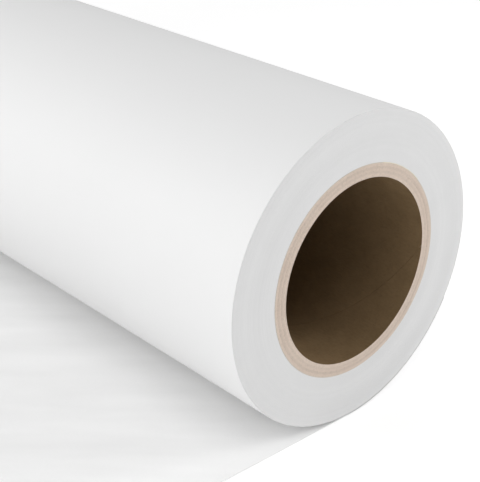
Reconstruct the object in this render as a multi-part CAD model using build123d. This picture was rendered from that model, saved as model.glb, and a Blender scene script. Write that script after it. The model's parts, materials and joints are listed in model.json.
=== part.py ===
from build123d import *
import math
import os

# A roll of self-adhesive sign vinyl, lying on a table with its free end rolled out in front.
#
# The web is wound face out on a spiral-wound paperboard core and leaves the roll at its underside,
# so the flat tail lies with its vinyl film down and its release liner up.
#
# Frame: origin at the centre of the core's bore, halfway along it. +X along the bore, +Z up.
# The tail runs from under the roll towards -Y. All sizes are in millimetres.

# Driving dimensions
ROLL_WIDTH = 610.0  # 24 in web, slit flush with the core's ends
CORE_BORE_RADIUS = 38.1  # 3 in core
INNER_PLY = 0.4  # kraft liner ply that faces the bore
BOARD_PLY = 0.94
BOARD_PLY_COUNT = 5
OUTER_PLY = 0.4  # smooth cover ply that the web is wound on

FILM = 0.08  # calendered vinyl film
ADHESIVE = 0.025
LINER = 0.12  # silicone-coated release paper
WOUND_LENGTH = 30500.0  # 100 ft of web on the roll
WINDING_FILL = 0.97  # share of the pack's section that is web, the rest being trapped air

TAPE_WIDTH = 25.0  # double-sided tape that holds the web's inner end to the core
TAPE_THICKNESS = 0.16
TAPE_CLEARANCE = 0.02
TAPE_ANGLE = 60.0  # where the tape's middle lies, from +Y towards +Z, in degrees

TAIL_LENGTH = 350.0  # from the line where the roll touches the tail to the tail's cut end
RUNNING_GAP = 0.2  # between the roll and the tail that it rolls over
NIP_CLEARANCE = 0.05  # between the nip's lower edge and the top of the tail
NIP_ARC = 30.0  # how far round the roll the nip reaches, in degrees
UNDERSIDE = -90.0  # direction of the roll's lowest line, from +Y towards +Z, in degrees

# Worked out from the driving dimensions
WEB = FILM + ADHESIVE + LINER
CORE_RADIUS = CORE_BORE_RADIUS + INNER_PLY + BOARD_PLY_COUNT * BOARD_PLY + OUTER_PLY
ROLL_RADIUS = math.sqrt(CORE_RADIUS**2 + WOUND_LENGTH * WEB / (math.pi * WINDING_FILL))
TAIL_TOP = -(ROLL_RADIUS + RUNNING_GAP)
NIP_INNER_RADIUS = ROLL_RADIUS + RUNNING_GAP
NIP_OUTER_RADIUS = NIP_INNER_RADIUS + WEB
# The nip starts where the web, still hugging the roll, has risen clear of the tail's top.
NIP_START = math.degrees(math.acos((NIP_INNER_RADIUS - NIP_CLEARANCE) / NIP_OUTER_RADIUS))
TAIL_REAR = NIP_OUTER_RADIUS * math.sin(math.radians(NIP_START))


def along_roll(section):
    """A section drawn in Y and Z, carried along the whole width of the roll."""
    return extrude(Plane.YZ.offset(-ROLL_WIDTH / 2) * section, ROLL_WIDTH)


def ring(inner_radius, outer_radius):
    return along_roll(Circle(outer_radius) - Circle(inner_radius))


def curved_strip(inner_radius, outer_radius, start, sweep):
    """Part of a ring, from the angle start over the angle sweep, both in degrees."""
    inner = CenterArc((0, 0), inner_radius, start, sweep)
    outer = CenterArc((0, 0), outer_radius, start, sweep)
    ends = [Line(inner @ 0, outer @ 0), Line(inner @ 1, outer @ 1)]
    return along_roll(make_face([inner, outer] + ends))


def flat_layer(top, thickness):
    """One layer of the tail: a flat sheet from under the roll to the cut end."""
    length = TAIL_LENGTH + TAIL_REAR
    centre = ((TAIL_REAR - TAIL_LENGTH) / 2, top - thickness / 2)
    return along_roll(Pos(*centre) * Rectangle(length, thickness))


def core_plies():
    """The plies of the spiral-wound core, glued face to face, from the bore outwards."""
    names = ["core_inner_ply"]
    names += [f"core_board_ply_{number}" for number in range(1, BOARD_PLY_COUNT + 1)]
    names += ["core_outer_ply"]
    thicknesses = [INNER_PLY] + [BOARD_PLY] * BOARD_PLY_COUNT + [OUTER_PLY]
    plies = {}
    radius = CORE_BORE_RADIUS
    for name, thickness in zip(names, thicknesses):
        plies[name] = ring(radius, radius + thickness)
        radius += thickness
    return plies


def tape_strip(clearance):
    """The start tape on the core, made larger all round by the clearance."""
    sweep = math.degrees((TAPE_WIDTH + 2 * clearance) / CORE_RADIUS)
    outer_radius = CORE_RADIUS + TAPE_THICKNESS + clearance
    return curved_strip(CORE_RADIUS, outer_radius, TAPE_ANGLE - sweep / 2, sweep)


def wound_web():
    """Every wound turn as one pack, with room at its inside for the start tape."""
    return ring(CORE_RADIUS, ROLL_RADIUS) - tape_strip(TAPE_CLEARANCE)


def nip_web():
    """The stretch of web between the flat tail and the roll, hugging the roll's underside."""
    return curved_strip(
        NIP_INNER_RADIUS, NIP_OUTER_RADIUS, UNDERSIDE + NIP_START, NIP_ARC
    )


def tail_layers():
    """The flat tail's three layers, from the top down."""
    return {
        "tail_liner": flat_layer(TAIL_TOP, LINER),
        "tail_adhesive": flat_layer(TAIL_TOP - LINER, ADHESIVE),
        "tail_film": flat_layer(TAIL_TOP - LINER - ADHESIVE, FILM),
    }


def main():
    parts = core_plies()
    parts["start_tape"] = tape_strip(0)
    parts["wound_web"] = wound_web()
    parts["nip_web"] = nip_web()
    parts.update(tail_layers())
    os.makedirs("parts", exist_ok=True)
    for name, shape in parts.items():
        export_step(shape, f"parts/{name}.step")
    print("roll radius", ROLL_RADIUS, "underside of the tail", TAIL_TOP - WEB)
    print("tail rear edge", TAIL_REAR, "nip starts at", NIP_START)


main()
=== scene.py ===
import json
import math

import bmesh
import bpy
import numpy as np
from mathutils import Matrix, Vector

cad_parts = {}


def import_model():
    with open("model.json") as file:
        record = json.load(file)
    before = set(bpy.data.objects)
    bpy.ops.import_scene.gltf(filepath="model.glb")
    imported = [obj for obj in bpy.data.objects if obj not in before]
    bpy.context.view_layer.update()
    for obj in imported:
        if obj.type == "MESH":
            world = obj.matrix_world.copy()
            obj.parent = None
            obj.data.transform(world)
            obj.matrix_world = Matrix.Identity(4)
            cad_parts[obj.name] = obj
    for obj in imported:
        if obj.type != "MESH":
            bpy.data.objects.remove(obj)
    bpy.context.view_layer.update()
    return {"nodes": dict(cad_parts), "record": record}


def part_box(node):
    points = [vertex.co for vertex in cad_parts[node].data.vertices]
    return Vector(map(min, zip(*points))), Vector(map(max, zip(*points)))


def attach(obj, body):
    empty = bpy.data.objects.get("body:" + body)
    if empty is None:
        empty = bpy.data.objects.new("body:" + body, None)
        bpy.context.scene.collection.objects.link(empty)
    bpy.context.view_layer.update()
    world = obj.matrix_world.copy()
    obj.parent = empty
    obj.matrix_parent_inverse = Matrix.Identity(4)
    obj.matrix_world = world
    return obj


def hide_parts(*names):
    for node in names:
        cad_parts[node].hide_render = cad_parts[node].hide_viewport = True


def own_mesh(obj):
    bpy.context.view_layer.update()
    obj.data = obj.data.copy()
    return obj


# The looks of a roll of self-adhesive sign vinyl, lying with its free end rolled out flat.
# Metres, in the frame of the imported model: +X along the bore, +Z up, the free end towards -Y.

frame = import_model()
record = frame["record"]

MM = 0.001
MICRON = 0.001 * MM

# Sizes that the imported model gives
BORE_MOUNT = next(mount for mount in record["mounts"] if mount["name"] == "core_bore")
BORE_RADIUS = BORE_MOUNT["dims"]["r_mm"] * MM
CORE_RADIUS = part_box("core_outer_ply")[1].y
ROLL_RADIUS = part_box("wound_web")[1].y
HALF_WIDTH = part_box("wound_web")[1].x
TAIL_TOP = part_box("tail_liner")[1].z
LINER_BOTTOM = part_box("tail_liner")[0].z
FILM_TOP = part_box("tail_film")[1].z
TAIL_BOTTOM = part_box("tail_film")[0].z
TAIL_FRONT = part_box("tail_film")[0].y
WEB = TAIL_TOP - TAIL_BOTTOM  # thickness of film, adhesive and liner together
TURNS = round((ROLL_RADIUS - CORE_RADIUS) / WEB)

ACROSS_WEB = np.linspace(-HALF_WIDTH, HALF_WIDTH, 181)  # places of the free end's rows of points
WAVE_CREST = 48  # heading of the free end's wave crests, in degrees from +X towards +Y
rng = np.random.default_rng(24)


# ---------------------------------------------------------------- meshes

def mesh_object(name, points, faces, flat_faces=()):
    """A mesh object with normals that point out and smooth faces, apart from those in flat_faces."""
    mesh = bpy.data.meshes.new(name)
    mesh.from_pydata(points, [], faces)
    smooth = np.ones(len(faces), bool)
    smooth[list(flat_faces)] = False
    mesh.polygons.foreach_set("use_smooth", smooth)
    shape = bmesh.new()
    shape.from_mesh(mesh)
    finish_faces(shape)
    shape.to_mesh(mesh)
    shape.free()
    mesh.update()
    piece = bpy.data.objects.new(name, mesh)
    bpy.context.scene.collection.objects.link(piece)
    return piece


def finish_faces(shape):
    """Turns the normals out, and marks the edges of flat faces as sharp."""
    bmesh.ops.recalc_face_normals(shape, faces=shape.faces)
    for edge in shape.edges:
        edge.smooth = all(face.smooth for face in edge.link_faces)


def points_about_x(place, radius, angle):
    """Points at these places along X, each at its radius and its angle from +Y towards +Z."""
    place, radius, angle = np.broadcast_arrays(place, radius, angle)
    return np.stack([place, radius * np.cos(angle), radius * np.sin(angle)], axis=-1)


def ring_object(name, profile, angles):
    """A closed ring about X. Its profile lists places and radii, each a number or one per angle."""
    rows, steps = len(profile), len(angles)
    points = np.array([points_about_x(place, radius, angles) for place, radius in profile])
    row, step = np.meshgrid(np.arange(rows), np.arange(steps), indexing="ij")
    next_row = (row + 1) % rows
    next_step = (step + 1) % steps
    corners = [row * steps + step, next_row * steps + step]
    corners += [next_row * steps + next_step, row * steps + next_step]
    faces = np.stack(corners, axis=-1).reshape(-1, 4)
    return mesh_object(name, points.reshape(-1, 3).tolist(), faces.tolist())


def sheet_object(name, top, bottom):
    """A closed thin sheet between two grids of points."""
    rows, columns = top.shape[:2]
    points = np.concatenate([top.reshape(-1, 3), bottom.reshape(-1, 3)])
    under = rows * columns
    row, column = np.meshgrid(np.arange(rows - 1), np.arange(columns - 1), indexing="ij")
    first = (row * columns + column).ravel()
    quads = np.stack([first, first + 1, first + columns + 1, first + columns], axis=-1)
    border = list(range(columns - 1))
    border += [(step + 1) * columns - 1 for step in range(rows - 1)]
    border += [rows * columns - 1 - step for step in range(columns - 1)]
    border += [(rows - 1 - step) * columns for step in range(rows - 1)]
    pairs = zip(border, border[1:] + border[:1])
    sides = [[here, there, there + under, here + under] for here, there in pairs]
    faces = quads.tolist() + (quads[:, ::-1] + under).tolist() + sides
    flat_faces = range(len(faces) - len(sides), len(faces))
    return mesh_object(name, points.tolist(), faces, flat_faces)


def smoothstep(low, high, value):
    """Goes smoothly from 0, where value is low, to 1, where it is high."""
    share = np.clip((value - low) / (high - low), 0, 1)
    return share * share * (3 - 2 * share)


# ---------------------------------------------------------------- wound web

ROUNDING = 0.25 * MM  # radius of the roll's two outer edges


def end_relief(radii, angles):
    """How far the turns' edges stand back from the roll's end, at each radius and angle."""
    drift_depth = 0.16 * MM  # of the slow drift from turn to turn
    single_depth = 0.02 * MM  # of each turn on its own
    sway_depth = 0.05 * MM  # of the sway within a turn
    sway_pitch = 6 * MM  # how far out the sway's phase moves on by one radian
    sway_start = 1.7  # the sway's phase at the axis
    blur = 13  # turns that the drift is averaged over
    drift = np.cumsum(rng.normal(0, 1, TURNS + 1))
    drift = np.convolve(np.pad(drift, blur // 2, mode="edge"), np.ones(blur) / blur, mode="valid")
    drift = (drift - drift.min()) / np.ptp(drift)
    single = rng.uniform(0, 1, TURNS + 1)
    turn = np.clip((radii - CORE_RADIUS) / WEB, 0, TURNS).round().astype(int)
    steady = drift_depth * drift[turn] + single_depth * single[turn]
    phase = sway_start + radii / sway_pitch
    sway = sway_depth * (0.5 + 0.5 * np.sin(angles[None, :] + phase[:, None]))
    return steady[:, None] + sway


def end_profile(side, angles):
    """Places and radii of the roll's end, from the core out to just past its rounded edge."""
    clearance = 0.02 * MM  # between the core and the first turn
    groove = 0.03 * MM  # depth of the groove between two turns
    rings = 2 * TURNS + 1  # the middle of each turn, and the groove on both sides of it
    edge_angles = (1.2, 0.8, 0.4, 0)  # of the points round the outer edge, in radians
    past_edge = 1.6 * ROUNDING  # how far the profile goes along the outside
    radii = np.linspace(CORE_RADIUS + clearance, ROLL_RADIUS - ROUNDING, rings)
    grooves = groove * (np.arange(rings) % 2 == 0)
    depths = end_relief(radii, angles) + grooves[:, None]
    rows = list(zip(depths, radii))
    for turned in edge_angles:
        depth = depths[-1] + ROUNDING * (1 - math.sin(turned))
        rows.append((depth, ROLL_RADIUS - ROUNDING * (1 - math.cos(turned))))
    rows.append((depths[-1] + past_edge, ROLL_RADIUS))
    return [(side * (HALF_WIDTH - depth), radius) for depth, radius in rows]


def outer_turn():
    """Places and radii along the roll's outside, which has faint bands, as wound film has."""
    band_depth = 0.03 * MM
    wide, narrow = 31 * MM, 17 * MM  # how far along the bands' two waves move on by one radian
    end = HALF_WIDTH - 3 * ROUNDING
    cells = 60
    places = np.linspace(-end, end, cells + 1)
    bands = 0.5 + 0.25 * np.sin(places / wide + 1) + 0.25 * np.sin(places / narrow + 4)
    return list(zip(places, ROLL_RADIUS - band_depth * bands))


def wound_web():
    """Every wound turn: the smooth outer turn, and the turns' edges side by side at both ends."""
    steps = 192
    angles = np.arange(steps) * 2 * math.pi / steps
    left = end_profile(-1, angles)
    right = end_profile(1, angles)
    return ring_object("wound_vinyl", left + outer_turn() + right[::-1], angles)


# ---------------------------------------------------------------- core

def core_ply(name, inner_radius, outer_radius, start, rim):
    """One ply of the core: a strip wound in a helix whose edges meet at a narrow butt seam.

    start is the angle where the strip begins, in degrees. rim is how far the ply's ends stand back
    from the wound web's.
    """
    lead = 139 * MM  # how far the strip advances in a turn
    seam = 0.12 * MM  # width of the gap between the strip's edges
    before, after = 1.5 * lead, 0.5 * lead  # how far it runs past the roll's ends before it is cut
    steps_per_turn = 144
    steps = math.ceil((before + 2 * HALF_WIDTH + after) / lead * steps_per_turn)
    angles = np.arange(steps + 1) * 2 * math.pi / steps_per_turn
    low = -HALF_WIDTH - before + lead * angles / (2 * math.pi)
    high = low + lead - seam
    turned = angles + math.radians(start)
    outline = [(low, inner_radius), (high, inner_radius), (high, outer_radius), (low, outer_radius)]
    points = np.stack([points_about_x(place, radius, turned) for place, radius in outline], axis=1)
    faces = []
    for step in range(steps):
        here, there = 4 * step, 4 * step + 4
        for first, second in ((0, 1), (1, 2), (2, 3), (3, 0)):
            faces.append([here + first, here + second, there + second, there + first])
    last = 4 * steps
    faces += [[0, 1, 2, 3], [last, last + 1, last + 2, last + 3]]
    seam_faces = range(1, last, 2)
    piece = mesh_object(name, points.reshape(-1, 3).tolist(), faces, seam_faces)
    trim_ends(piece, HALF_WIDTH - rim)
    return piece


def trim_ends(piece, half_width):
    """Cuts a piece off square at both ends and closes the cuts."""
    shape = bmesh.new()
    shape.from_mesh(piece.data)
    for side in (-1, 1):
        cut = bmesh.ops.bisect_plane(
            shape,
            geom=shape.verts[:] + shape.edges[:] + shape.faces[:],
            plane_co=(side * half_width, 0, 0),
            plane_no=(side, 0, 0),
            clear_outer=True,
        )
        outline = [part for part in cut["geom_cut"] if isinstance(part, bmesh.types.BMEdge)]
        filled = bmesh.ops.edgeloop_fill(shape, edges=outline)["faces"]
        for face in filled:
            face.smooth = False
        bmesh.ops.triangulate(shape, faces=filled)
    finish_faces(shape)
    shape.to_mesh(piece.data)
    shape.free()


# ---------------------------------------------------------------- nip and tail

def nip_web():
    """The web that goes on from the flat tail round the roll's underside, lying closer and closer."""
    sweep = math.radians(62)
    thins_from = 0.3 * sweep
    settled_from = 0.7 * sweep
    first_gap = -TAIL_TOP - ROLL_RADIUS
    last_gap = 0.015 * MM
    thinning = 0.86  # share of its thickness that is lost by the end, so that it fades into the roll
    place, turned = np.meshgrid(ACROSS_WEB, np.linspace(0, sweep, 49), indexing="ij")
    gap = first_gap + (last_gap - first_gap) * smoothstep(0, settled_from, turned)
    thickness = WEB * (1 - thinning * smoothstep(thins_from, sweep, turned))
    angle = turned - math.pi / 2
    inner_radius = ROLL_RADIUS + gap
    inside = points_about_x(place, inner_radius, angle)
    outside = points_about_x(place, inner_radius + thickness, angle)
    return sheet_object("nip_vinyl", outside, inside)


def tail_lift(x, y):
    """How far the tail stands off the table: low diagonal waves, and a curl left by the winding."""
    wave_height = 1.6 * MM
    flat_until, full_from = -35 * MM, -110 * MM  # the waves rise between these places along Y
    curl_height = 5 * MM
    curl_length = 55 * MM
    waves = 16
    shortest, longest = 20, 56  # wavelengths in mm
    heading_spread = 15  # degrees
    lift = np.zeros_like(x)
    for _ in range(waves):
        length = rng.uniform(shortest, longest) * MM
        heading = math.radians(rng.normal(WAVE_CREST - 90, heading_spread))
        phase = rng.uniform(0, 2 * math.pi)
        along = x * math.cos(heading) + y * math.sin(heading)
        lift += length * np.sin(2 * math.pi * along / length + phase)
    lift = 0.5 + 0.5 * lift / np.abs(lift).max()
    lift *= wave_height * smoothstep(flat_until, full_from, y)
    curled = np.clip((TAIL_FRONT + curl_length - y) / curl_length, 0, 1)
    return lift + curl_height * curled ** 2


def tail_layers():
    """The flat tail's liner, adhesive and film, each a closed sheet, all following the same waves."""
    x, y = np.meshgrid(ACROSS_WEB, np.linspace(TAIL_FRONT, 0, 121), indexing="ij")
    lift = tail_lift(x, y)
    sheets = []
    for name, top, bottom in [
        ("tail_liner_sheet", TAIL_TOP, LINER_BOTTOM),
        ("tail_adhesive_layer", LINER_BOTTOM, FILM_TOP),
        ("tail_film_sheet", FILM_TOP, TAIL_BOTTOM),
    ]:
        upper = np.stack([x, y, lift + top], axis=-1)
        lower = np.stack([x, y, lift + bottom], axis=-1)
        sheets.append(sheet_object(name, upper, lower))
    return sheets


# ---------------------------------------------------------------- materials

RING_AT_SCALE_ONE = 2 * math.pi / 20  # width of one ring of the wave texture, at a scale of 1
NOISE_LOW, NOISE_HIGH = 0.3, 0.7  # nearly all of the noise texture's values lie between these
# The mix node's colour sockets, by number because its other sockets have the same names
MIX_FACTOR, MIX_FIRST, MIX_SECOND = 0, 6, 7
MIX_RESULT = 2


class Look:
    """A material, with its shader, object coordinates and short ways to add nodes."""

    def __init__(self, name, colour, roughness):
        self.material = bpy.data.materials.new(name)
        self.material.use_nodes = True
        self.tree = self.material.node_tree
        self.shader = self.tree.nodes["Principled BSDF"]
        self.shader.inputs["Base Color"].default_value = (*colour, 1)
        self.shader.inputs["Roughness"].default_value = roughness
        self.place = self.tree.nodes.new("ShaderNodeTexCoord").outputs["Object"]

    def link(self, source, target):
        self.tree.links.new(source, target)

    def stretched(self, factor, heading=0):
        """Object coordinates that make noise longer, by this factor, along a line in the XY plane.

        heading is the line's, in degrees from +X towards +Y.
        """
        mapping = self.tree.nodes.new("ShaderNodeMapping")
        mapping.vector_type = "TEXTURE"
        mapping.inputs["Rotation"].default_value = (0, 0, math.radians(heading))
        mapping.inputs["Scale"].default_value = (factor, 1, 1)
        self.link(self.place, mapping.inputs["Vector"])
        return mapping.outputs["Vector"]

    def noise(self, size, detail, vector=None):
        """Noise whose blotches are about size metres across. detail is how many finer layers it has."""
        node = self.tree.nodes.new("ShaderNodeTexNoise")
        node.inputs["Scale"].default_value = 1 / size
        node.inputs["Detail"].default_value = detail
        self.link(vector or self.place, node.inputs["Vector"])
        return node.outputs["Fac"]

    def rings(self, pitch):
        """Rings about X, one for each pitch."""
        node = self.tree.nodes.new("ShaderNodeTexWave")
        node.wave_type = "RINGS"
        node.rings_direction = "X"
        node.inputs["Scale"].default_value = RING_AT_SCALE_ONE / pitch
        node.inputs["Distortion"].default_value = 0.6
        node.inputs["Detail"].default_value = 1
        self.link(self.place, node.inputs["Vector"])
        return node.outputs["Fac"]

    def radius(self):
        """Distance from the X axis, as a vector for textures that vary with it alone."""
        parts = self.tree.nodes.new("ShaderNodeSeparateXYZ")
        self.link(self.place, parts.inputs["Vector"])
        flat = self.tree.nodes.new("ShaderNodeCombineXYZ")
        self.link(parts.outputs["Y"], flat.inputs["Y"])
        self.link(parts.outputs["Z"], flat.inputs["Z"])
        length = self.tree.nodes.new("ShaderNodeVectorMath")
        length.operation = "LENGTH"
        self.link(flat.outputs["Vector"], length.inputs[0])
        line = self.tree.nodes.new("ShaderNodeCombineXYZ")
        self.link(length.outputs["Value"], line.inputs["X"])
        return line.outputs["Vector"]

    def blend(self, factor, colours):
        """A colour for each value of factor, from colours evenly spaced from 0 to 1."""
        ramp = self.tree.nodes.new("ShaderNodeValToRGB")
        stops = ramp.color_ramp.elements
        while len(stops) < len(colours):
            stops.new(0.5)
        for number, colour in enumerate(colours):
            stops[number].position = number / (len(colours) - 1)
            stops[number].color = (*colour, 1)
        self.link(factor, ramp.inputs["Fac"])
        return ramp.outputs["Color"]

    def multiply(self, first, second):
        """One colour times another."""
        node = self.tree.nodes.new("ShaderNodeMix")
        node.data_type = "RGBA"
        node.blend_type = "MULTIPLY"
        node.inputs[MIX_FACTOR].default_value = 1
        self.link(first, node.inputs[MIX_FIRST])
        self.link(second, node.inputs[MIX_SECOND])
        return node.outputs[MIX_RESULT]

    def spread(self, noise, low, high):
        """Noise stretched to run from low to high."""
        node = self.tree.nodes.new("ShaderNodeMapRange")
        node.inputs["From Min"].default_value = NOISE_LOW
        node.inputs["From Max"].default_value = NOISE_HIGH
        node.inputs["To Min"].default_value = low
        node.inputs["To Max"].default_value = high
        self.link(noise, node.inputs["Value"])
        return node.outputs["Result"]

    def colour(self, value):
        self.link(value, self.shader.inputs["Base Color"])

    def roughness(self, value):
        self.link(value, self.shader.inputs["Roughness"])

    def bump(self, height, distance):
        """Adds a bump on top of the bumps so far. distance is the height's full range in metres."""
        node = self.tree.nodes.new("ShaderNodeBump")
        node.inputs["Distance"].default_value = distance
        node.inputs["Strength"].default_value = 1
        self.link(height, node.inputs["Height"])
        normal = self.shader.inputs["Normal"]
        if normal.is_linked:
            self.link(normal.links[0].from_socket, node.inputs["Normal"])
        self.link(node.outputs["Normal"], normal)


def grey(value):
    return (value, value, value)


def vinyl_film():
    """Matte calendered film: nearly even white, with a faint orange peel and dull streaks."""
    look = Look("vinyl_film", grey(0.75), 0.55)
    look.shader.inputs["Specular IOR Level"].default_value = 0.38
    look.colour(look.blend(look.noise(60 * MM, 2), [grey(0.74), grey(0.76)]))
    look.roughness(look.spread(look.noise(30 * MM, 3, look.stretched(4)), 0.5, 0.6))
    look.bump(look.noise(1.6 * MM, 2), 4 * MICRON)
    look.bump(look.noise(14 * MM, 1), 30 * MICRON)
    return look.material


def release_liner():
    """Clay-coated paper: matte, faintly cloudy, with fine fibres and painted shade: faint streaks along
    the wave crests that stand in for the shade on the tail's ripples.
    """
    look = Look("release_liner", grey(0.92), 0.7)
    look.shader.inputs["Specular IOR Level"].default_value = 0.3
    clouds = look.blend(look.noise(22 * MM, 4), [(0.935, 0.935, 0.933), (0.96, 0.96, 0.958)])
    # painted shade: light and dark streaks along the wave crests, standing in for the shade on the
    # tail's ripples
    painted_shade_noise = look.spread(look.noise(13 * MM, 2, look.stretched(5, WAVE_CREST)), 0, 1)
    streaks = look.blend(painted_shade_noise, [grey(0.95), grey(1)])
    fibres = look.blend(look.noise(0.5 * MM, 3, look.stretched(3)), [grey(0.96), grey(1)])
    look.colour(look.multiply(look.multiply(clouds, streaks), fibres))
    look.roughness(look.spread(look.noise(10 * MM, 3), 0.64, 0.76))
    look.bump(look.noise(0.6 * MM, 3), 6 * MICRON)
    return look.material


def adhesive():
    """Acrylic adhesive, pale and a little glossy, seen only as a thin line at the tail's edges."""
    look = Look("adhesive", (0.78, 0.77, 0.73), 0.25)
    look.colour(look.blend(look.noise(4 * MM, 2), [(0.75, 0.74, 0.7), (0.81, 0.8, 0.77)]))
    look.bump(look.noise(0.8 * MM, 2), 10 * MICRON)
    return look.material


def web_edges():
    """The slit edges of the wound turns: matte, with a fine line where each turn meets the next."""
    look = Look("web_edges", grey(0.74), 0.7)
    bands = look.blend(look.noise(2.2 * MM, 4, look.radius()), [grey(0.715), grey(0.775)])
    lines = look.blend(look.rings(WEB), [grey(0.84), grey(1), grey(1)])
    marks = look.blend(look.noise(12 * MM, 4), [grey(0.965), grey(1)])
    look.colour(look.multiply(look.multiply(bands, lines), marks))
    look.roughness(look.spread(look.noise(4 * MM, 2), 0.62, 0.78))
    look.bump(look.noise(0.8 * MM, 3), 10 * MICRON)
    return look.material


def paperboard(name, dark, light, grain=1.0):
    """Recycled board: cloudy, with long fibres, specks and a matte surface. grain scales its bump."""
    look = Look(name, light, 0.88)
    look.shader.inputs["Specular IOR Level"].default_value = 0.12
    clouds = look.blend(look.noise(9 * MM, 4), [dark, light])
    fibres = look.blend(look.noise(0.7 * MM, 5, look.stretched(3)), [grey(0.78), grey(1)])
    specks = look.blend(look.noise(1.1 * MM, 2), [grey(0.8), grey(1), grey(1)])
    look.colour(look.multiply(look.multiply(clouds, fibres), specks))
    look.roughness(look.spread(look.noise(2 * MM, 3), 0.82, 0.94))
    look.bump(look.noise(0.7 * MM, 5, look.stretched(3)), 60 * MICRON * grain)
    return look.material


def start_tape():
    """Double-sided paper tape."""
    look = Look("start_tape", (0.78, 0.72, 0.55), 0.6)
    look.colour(look.blend(look.noise(3 * MM, 3), [(0.72, 0.66, 0.5), (0.82, 0.76, 0.6)]))
    look.bump(look.noise(0.9 * MM, 3), 20 * MICRON)
    return look.material


def paint(piece, *materials):
    piece.data.materials.clear()
    for material in materials:
        piece.data.materials.append(material)


def paint_ends(piece):
    """Gives the faces at the roll's two ends the piece's second material."""
    for face in piece.data.polygons:
        faces_out = abs(face.normal.x) > 0.7
        at_end = abs(face.center.x) > HALF_WIDTH - MM
        if faces_out and at_end:
            face.material_index = 1


# ---------------------------------------------------------------- the roll

film = vinyl_film()
edges = web_edges()

wound = wound_web()
paint(wound, film, edges)
paint_ends(wound)
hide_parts("wound_web")
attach(wound, "roll")

BOARD_DARK = np.array((0.645, 0.53, 0.445))
BOARD_LIGHT = np.array((0.735, 0.62, 0.53))
BATCHES = (1.02, 0.95, 1.0, 0.93, 1.01)  # lightness of each board ply's paper

kraft = paperboard("kraft_liner_ply", (0.203, 0.135, 0.068), (0.289, 0.194, 0.103))
boards = [
    paperboard(f"core_board_{number}", BOARD_DARK * batch, BOARD_LIGHT * batch)
    for number, batch in enumerate(BATCHES, 1)
]
cover = paperboard("smooth_cover_ply", (0.645, 0.55, 0.465), (0.735, 0.64, 0.55), grain=0.5)

# Each ply's node, paper and material slot, from the bore outwards
plies = [("core_inner_ply", kraft, "kraft_liner_ply")]
for number, board in enumerate(boards, 1):
    plies.append((f"core_board_ply_{number}", board, "core_board"))
plies.append(("core_outer_ply", cover, "smooth_cover_ply"))

inside = BORE_RADIUS
for number, (ply, paper, slot) in enumerate(plies):
    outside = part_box(ply)[1].y
    start = 40 + 137 * number  # degrees, so that no two seams lie over each other
    rim = rng.uniform(0.02, 0.15) * MM
    spiral = core_ply(ply + "_strip", inside, outside, start, rim)
    if paper is kraft:
        paint(spiral, kraft, boards[0])  # its cut ends are as pale as the board's
        paint_ends(spiral)
    else:
        paint(spiral, paper)
    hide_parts(ply)
    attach(spiral, "roll")
    inside = outside

paint(frame["nodes"]["start_tape"], start_tape())

# ---------------------------------------------------------------- the web's free end

nip = nip_web()
paint(nip, film)
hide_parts("nip_web")
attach(nip, "nip")

liner_sheet, adhesive_layer, film_sheet = tail_layers()
paint(liner_sheet, release_liner())
paint(adhesive_layer, adhesive())
paint(film_sheet, film)
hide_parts("tail_liner")
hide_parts("tail_adhesive")
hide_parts("tail_film")
for layer in (liner_sheet, adhesive_layer, film_sheet):
    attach(layer, "tail")
    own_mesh(layer)


# ---------------------------------------------------------------- floor, light and camera

def floor():
    """A white studio floor that also glows a little, which keeps the shadows on it faint."""
    reach = 60  # from the middle to each side, so that the floor's edge lies near the horizon
    gap = 0.05 * MM  # between the floor and the film
    glow = 0.295
    height = TAIL_BOTTOM - gap
    corners = [(-reach, -reach), (reach, -reach), (reach, reach), (-reach, reach)]
    piece = mesh_object("studio_floor", [(x, y, height) for x, y in corners], [[0, 1, 2, 3]])
    look = Look("studio_floor", grey(0.9), 0.9)
    look.shader.inputs["Emission Color"].default_value = (1, 1, 1, 1)
    look.shader.inputs["Emission Strength"].default_value = glow
    paint(piece, look.material)


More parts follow.
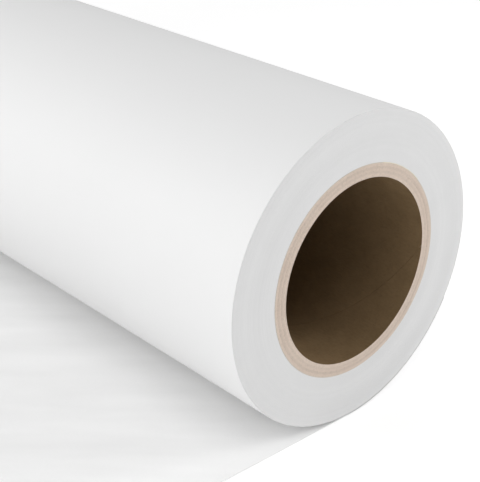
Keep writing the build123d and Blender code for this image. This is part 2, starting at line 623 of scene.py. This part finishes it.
def soft_box(name, azimuth, elevation, power):
    """A round soft light, aimed just in front of the roll's near half.

    Azimuth 0 is in front, on the free end's side, and 90 is past the near end.
    """
    distance = 1.3
    diameter = 0.6
    aim = Vector((0.2, -0.1, 0))
    around, above = math.radians(azimuth), math.radians(elevation)
    level = math.cos(above)
    away = Vector((math.sin(around) * level, -math.cos(around) * level, math.sin(above)))
    data = bpy.data.lights.new(name, "AREA")
    data.shape = "DISK"
    data.size = diameter
    data.energy = power
    light = bpy.data.objects.new(name, data)
    light.location = aim + distance * away
    light.rotation_euler = (-away).to_track_quat("-Z", "Y").to_euler()
    bpy.context.scene.collection.objects.link(light)


def world(left, right):
    """A white sky whose strength changes evenly from its left side, -X, to its right side, +X."""
    sky = bpy.data.worlds.new("studio")
    sky.use_nodes = True
    nodes = sky.node_tree.nodes
    links = sky.node_tree.links
    direction = nodes.new("ShaderNodeSeparateXYZ")
    links.new(nodes.new("ShaderNodeTexCoord").outputs["Generated"], direction.inputs["Vector"])
    strength = nodes.new("ShaderNodeMapRange")
    strength.inputs["From Min"].default_value = -1
    strength.inputs["From Max"].default_value = 1
    strength.inputs["To Min"].default_value = left
    strength.inputs["To Max"].default_value = right
    links.new(direction.outputs["X"], strength.inputs["Value"])
    background = nodes["Background"]
    background.inputs["Color"].default_value = (1, 1, 1, 1)
    links.new(strength.outputs["Result"], background.inputs["Strength"])
    bpy.context.scene.world = sky


def camera():
    """Looks down at the roll's near end from its front right."""
    place = Vector((0.567, -0.3049, 0.2006))
    aim = Vector((HALF_WIDTH, -0.0615, 0.0319))
    tilt = math.radians(1.24)  # the photo leans by this much
    ahead = (aim - place).normalized()
    level = ahead.cross(Vector((0, 0, 1))).normalized()
    up = level.cross(ahead)
    right = math.cos(tilt) * level + math.sin(tilt) * up
    data = bpy.data.cameras.new("camera")
    data.lens = 87.5
    data.sensor_width = 36
    eye = bpy.data.objects.new("camera", data)
    turn = Matrix((right, right.cross(ahead), -ahead)).transposed()
    eye.matrix_world = Matrix.Translation(place) @ turn.to_4x4()
    bpy.context.scene.collection.objects.link(eye)
    bpy.context.scene.camera = eye


floor()
world(left=0.86, right=0.26)
soft_box("left_light", azimuth=-30, elevation=22, power=5.5)
soft_box("front_light", azimuth=0, elevation=45, power=2.1)
soft_box("right_light", azimuth=60, elevation=60, power=2.5)
soft_box("back_light", azimuth=140, elevation=20, power=4.7)
camera()
bpy.context.scene.view_settings.view_transform = "Standard"
